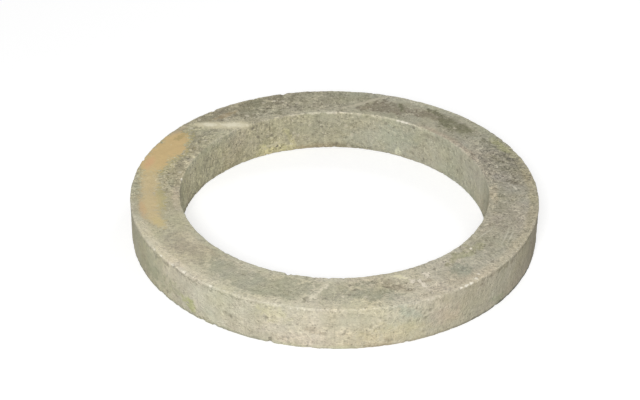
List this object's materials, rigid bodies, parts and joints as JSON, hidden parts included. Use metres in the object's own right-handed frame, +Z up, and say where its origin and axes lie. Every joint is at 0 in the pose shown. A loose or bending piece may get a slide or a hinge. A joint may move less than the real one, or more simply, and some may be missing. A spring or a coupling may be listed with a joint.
{
  "type": "concrete culvert ring",
  "caption": "Flat round concrete adjusting ring with a wide clear bore, laid on a culvert or manhole shaft to bring its cover up to level.",
  "frame": {"origin": "on the ring's axis, in the plane of its bed face, which it lies on", "axes": "+Z up along the ring's axis, from the bed face to the seat face; the section is the same all round, so +X and +Y are any two directions across it"},
  "size_m": [0.825, 0.825, 0.09],
  "materials": {
    "concrete": "earth-moist pressed concrete, weathered, matt and fine-grained"
  },
  "bodies": {
    "root": {"ring": "concrete"}
  },
  "joints": []
}
